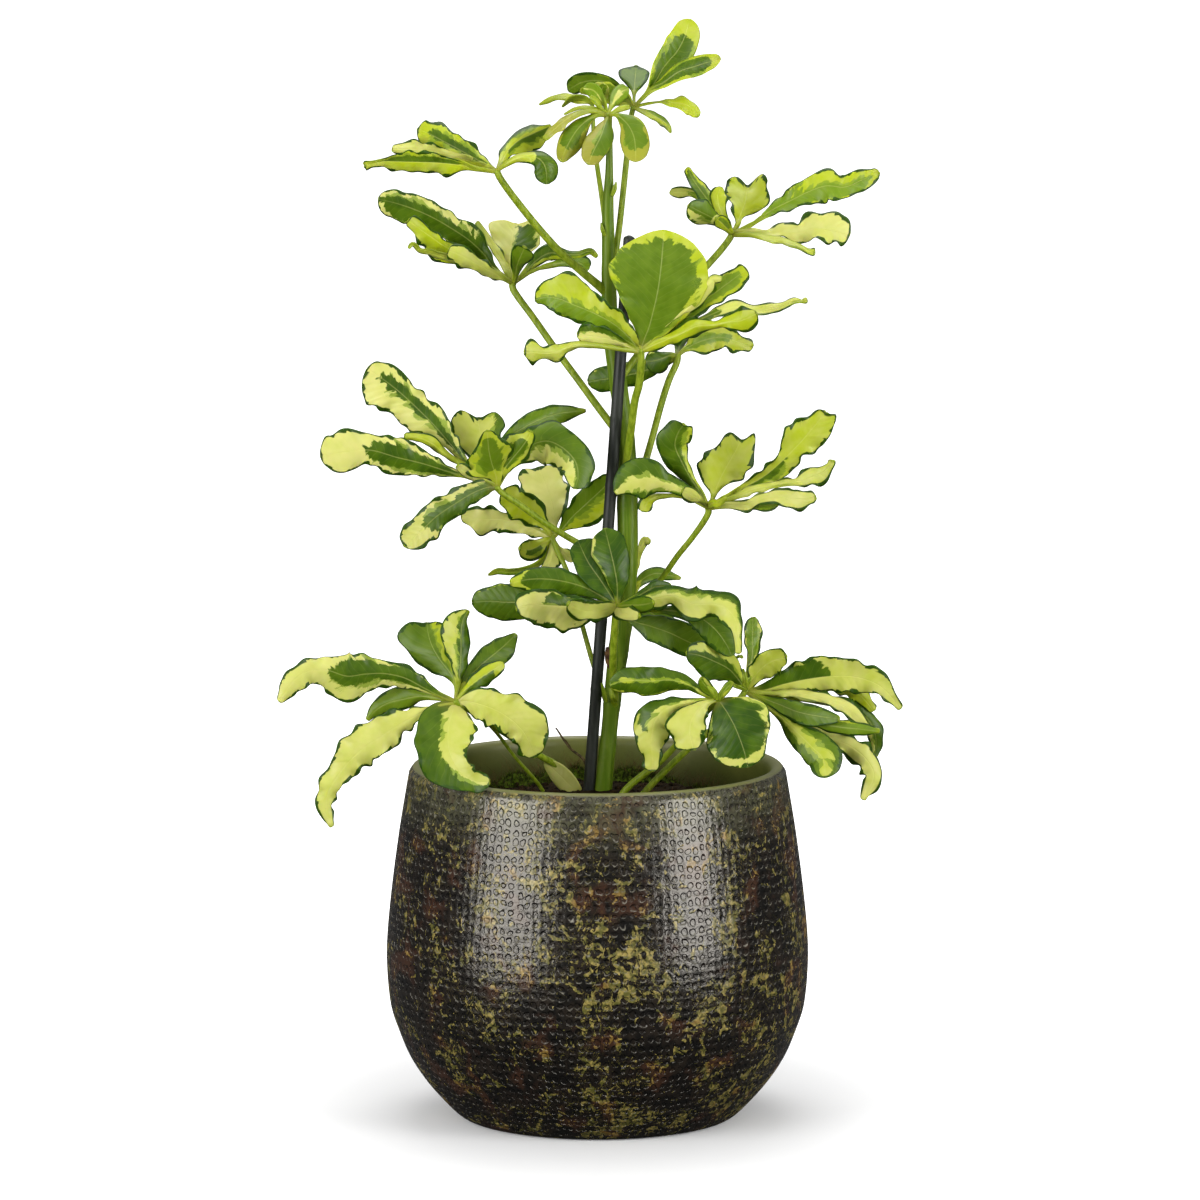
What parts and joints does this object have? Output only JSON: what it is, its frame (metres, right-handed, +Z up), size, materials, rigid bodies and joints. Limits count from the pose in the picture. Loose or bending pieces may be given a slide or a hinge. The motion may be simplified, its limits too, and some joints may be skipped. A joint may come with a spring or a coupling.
{
  "type": "potted umbrella plant",
  "caption": "Variegated umbrella plant with wavy-edged leaflets, its stem beside a thin black support cane, in a round dimpled glazed pot filled with soil.",
  "frame": {"origin": "centre of the pot's flat underside", "axes": "+Z up along the pot's axis; the pictured front faces -Y, with +X to its right"},
  "size_m": [0.4123, 0.2828, 0.7332],
  "materials": {
    "leaf": "satin leaf with a dark green heart and lime and cream margins",
    "stem": "green bark, slightly glossy, brown at the nodes",
    "cane": "black plastic coating with faint ribs",
    "glaze": "glossy brown-black glaze over hammered dimples, with olive flecks",
    "soil": "crumbly dark potting soil",
    "moss": "matt green moss cushions",
    "dry": "dry brown twig and bark"
  },
  "bodies": {
    "root": {"leaf_top_right": "leaf", "leaf_top_front": "leaf", "leaf_top_back": "leaf", "leaf_upper_left": "leaf", "leaf_mid_left": "leaf", "leaf_center": "leaf", "leaf_center_back": "leaf", "leaf_upper_right": "leaf", "leaf_left": "leaf", "leaf_left_low": "leaf", "leaf_right": "leaf", "leaf_front": "leaf", "leaf_rear": "leaf", "leaf_low_left": "leaf", "leaf_low_right": "leaf", "leaf_far_right": "leaf", "pot": "glaze", "soil": "soil", "trunk": "stem", "stake": "cane", "twig": "dry"}
  },
  "joints": []
}
